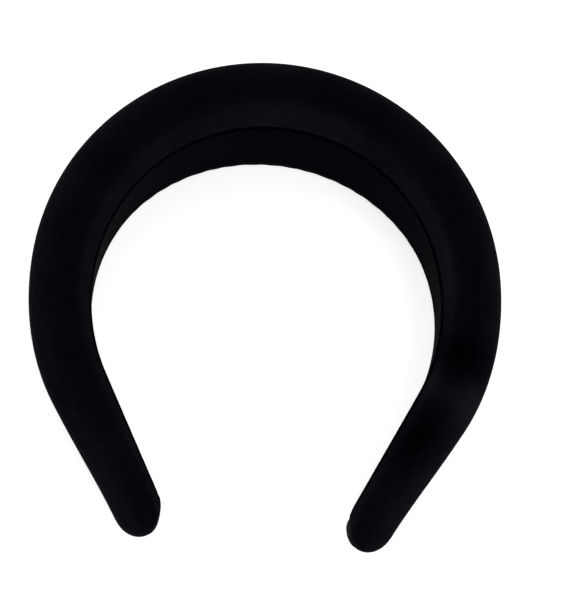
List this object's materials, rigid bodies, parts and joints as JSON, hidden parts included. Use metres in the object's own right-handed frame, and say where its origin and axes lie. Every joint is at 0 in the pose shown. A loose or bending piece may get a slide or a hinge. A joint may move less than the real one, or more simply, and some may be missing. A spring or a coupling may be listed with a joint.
{
  "type": "padded headband",
  "caption": "Padded velvet headband: a springy hoop in a fat foam pad and velvet sleeve, with a cloth lining, that opens over the head.",
  "frame": {"origin": "middle of the bounding box, on the surface that the band lies on", "axes": "+X to the wearer's one side, +Y towards the crown, +Z from the back edge to the front edge, up as it lies; the arch's middle plane leans 4.5 degrees about +X, because the crown's padding is deeper than the tips"},
  "size_m": [0.172, 0.1818, 0.0425],
  "materials": {
    "velvet": "cut-pile velvet, near black with a blue cast",
    "lining_cloth": "matte close-woven cloth, near black",
    "foam": "matte open-cell foam",
    "hoop_plastic": "satin",
    "film": "dull adhesive film",
    "thread": "twisted sewing thread"
  },
  "bodies": {
    "left_half": {"velvet_cover_left": "velvet", "foam_pad_left": "foam", "foam_film_left": "film", "hoop_left": "hoop_plastic", "lining_film_left": "film", "lining_left": "lining_cloth", "front_stitches_left": "thread", "back_stitches_left": "thread"},
    "right_half": {"velvet_cover_right": "velvet", "foam_pad_right": "foam", "foam_film_right": "film", "hoop_right": "hoop_plastic", "lining_film_right": "film", "lining_right": "lining_cloth", "front_stitches_right": "thread", "back_stitches_right": "thread"}
  },
  "joints": [
    {"name": "crown_flex", "type": "hinge", "parent": "left_half", "child": "right_half", "pos_m": [0, 0.09067, 0.02249], "axis": [0, -0.0793, 0.9969], "range_deg": [0, 20], "stiffness_Nm_per_rad": 0.33}
  ]
}
